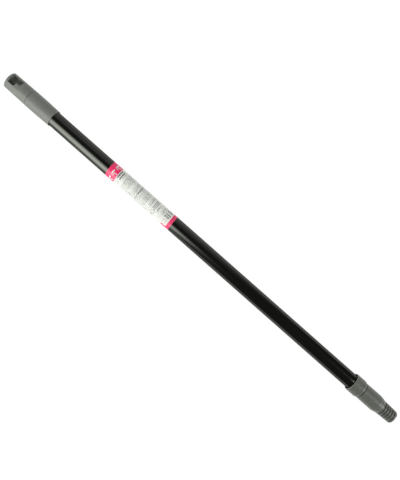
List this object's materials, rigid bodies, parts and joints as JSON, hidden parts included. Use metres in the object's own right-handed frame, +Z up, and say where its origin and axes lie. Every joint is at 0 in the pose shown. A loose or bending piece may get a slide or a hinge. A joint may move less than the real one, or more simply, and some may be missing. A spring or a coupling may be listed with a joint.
{
  "type": "roller extension pole",
  "caption": "Telescopic twist-lock extension pole for a paint roller, with a tapered threaded tip, a moulded grip sleeve and a hollow hanging cap.",
  "frame": {"origin": "centre of the hang cap's flat end face, on the pole's axis", "axes": "+X along the pole from the hang cap to the threaded tip, +Z up through the wall with the hanging window, +Y to the left when looking along +X"},
  "size_m": [0.7959, 0.0298, 0.0298],
  "materials": {
    "black_lacquer": "gloss",
    "grey_plastic": "satin moulded",
    "grey_plastic_dark": "satin moulded",
    "rivet_alu": "satin",
    "label_film": "printed film",
    "acetal": "moulded",
    "acetal_dark": "moulded",
    "nut_plastic": "moulded",
    "shoe_plastic": "moulded",
    "ring_rubber": "matt",
    "zinc_tube": "zinc plated",
    "spindle_steel": "zinc plated"
  },
  "bodies": {
    "outer_pole": {"outer_tube": "black_lacquer", "hang_cap": "grey_plastic", "cap_rivet": "rivet_alu", "grip_sleeve": "grey_plastic", "product_label": "label_film", "guide_collar": "grey_plastic_dark", "guide_bush": "acetal"},
    "lock_carrier": {"shoe_cage": "acetal", "friction_ring": "acetal_dark", "thrust_washer": "acetal", "shoe_ring": "ring_rubber"},
    "inner_pole": {"inner_tube": "zinc_tube", "thread_tip": "grey_plastic_dark", "tip_rivet": "rivet_alu", "lock_plug": "acetal_dark", "lock_spindle": "spindle_steel", "stop_washer": "spindle_steel", "stop_screw": "spindle_steel"},
    "expander": {"expander_nut": "nut_plastic"},
    "shoe_a": {"brake_shoe_a": "shoe_plastic"},
    "shoe_b": {"brake_shoe_b": "shoe_plastic"},
    "shoe_c": {"brake_shoe_c": "shoe_plastic"}
  },
  "joints": [
    {"name": "extend", "type": "slide", "parent": "outer_pole", "child": "lock_carrier", "axis": [1, 0, 0], "range_m": [0, 0.54]},
    {"name": "twist_lock", "type": "hinge", "parent": "lock_carrier", "child": "inner_pole", "pos_m": [0.1, 0, 0], "axis": [-1, 0, 0], "range_deg": [0, 270]},
    {"name": "nut_travel", "type": "slide", "parent": "lock_carrier", "child": "expander", "axis": [1, 0, 0], "range_m": [0, 0.0024]},
    {"name": "shoe_a_travel", "type": "slide", "parent": "lock_carrier", "child": "shoe_a", "axis": [0, 0, 1], "range_m": [0, 0.00042]},
    {"name": "shoe_b_travel", "type": "slide", "parent": "lock_carrier", "child": "shoe_b", "axis": [0, -0.866, -0.5], "range_m": [0, 0.00042]},
    {"name": "shoe_c_travel", "type": "slide", "parent": "lock_carrier", "child": "shoe_c", "axis": [0, 0.866, -0.5], "range_m": [0, 0.00042]}
  ],
  "couplings": [
    {"joint": "nut_travel", "follows": "twist_lock", "m_per_rad": 0.00047746},
    {"joint": "shoe_a_travel", "follows": "twist_lock", "m_per_rad": 0.00008419},
    {"joint": "shoe_b_travel", "follows": "twist_lock", "m_per_rad": 0.00008419},
    {"joint": "shoe_c_travel", "follows": "twist_lock", "m_per_rad": 0.00008419}
  ]
}
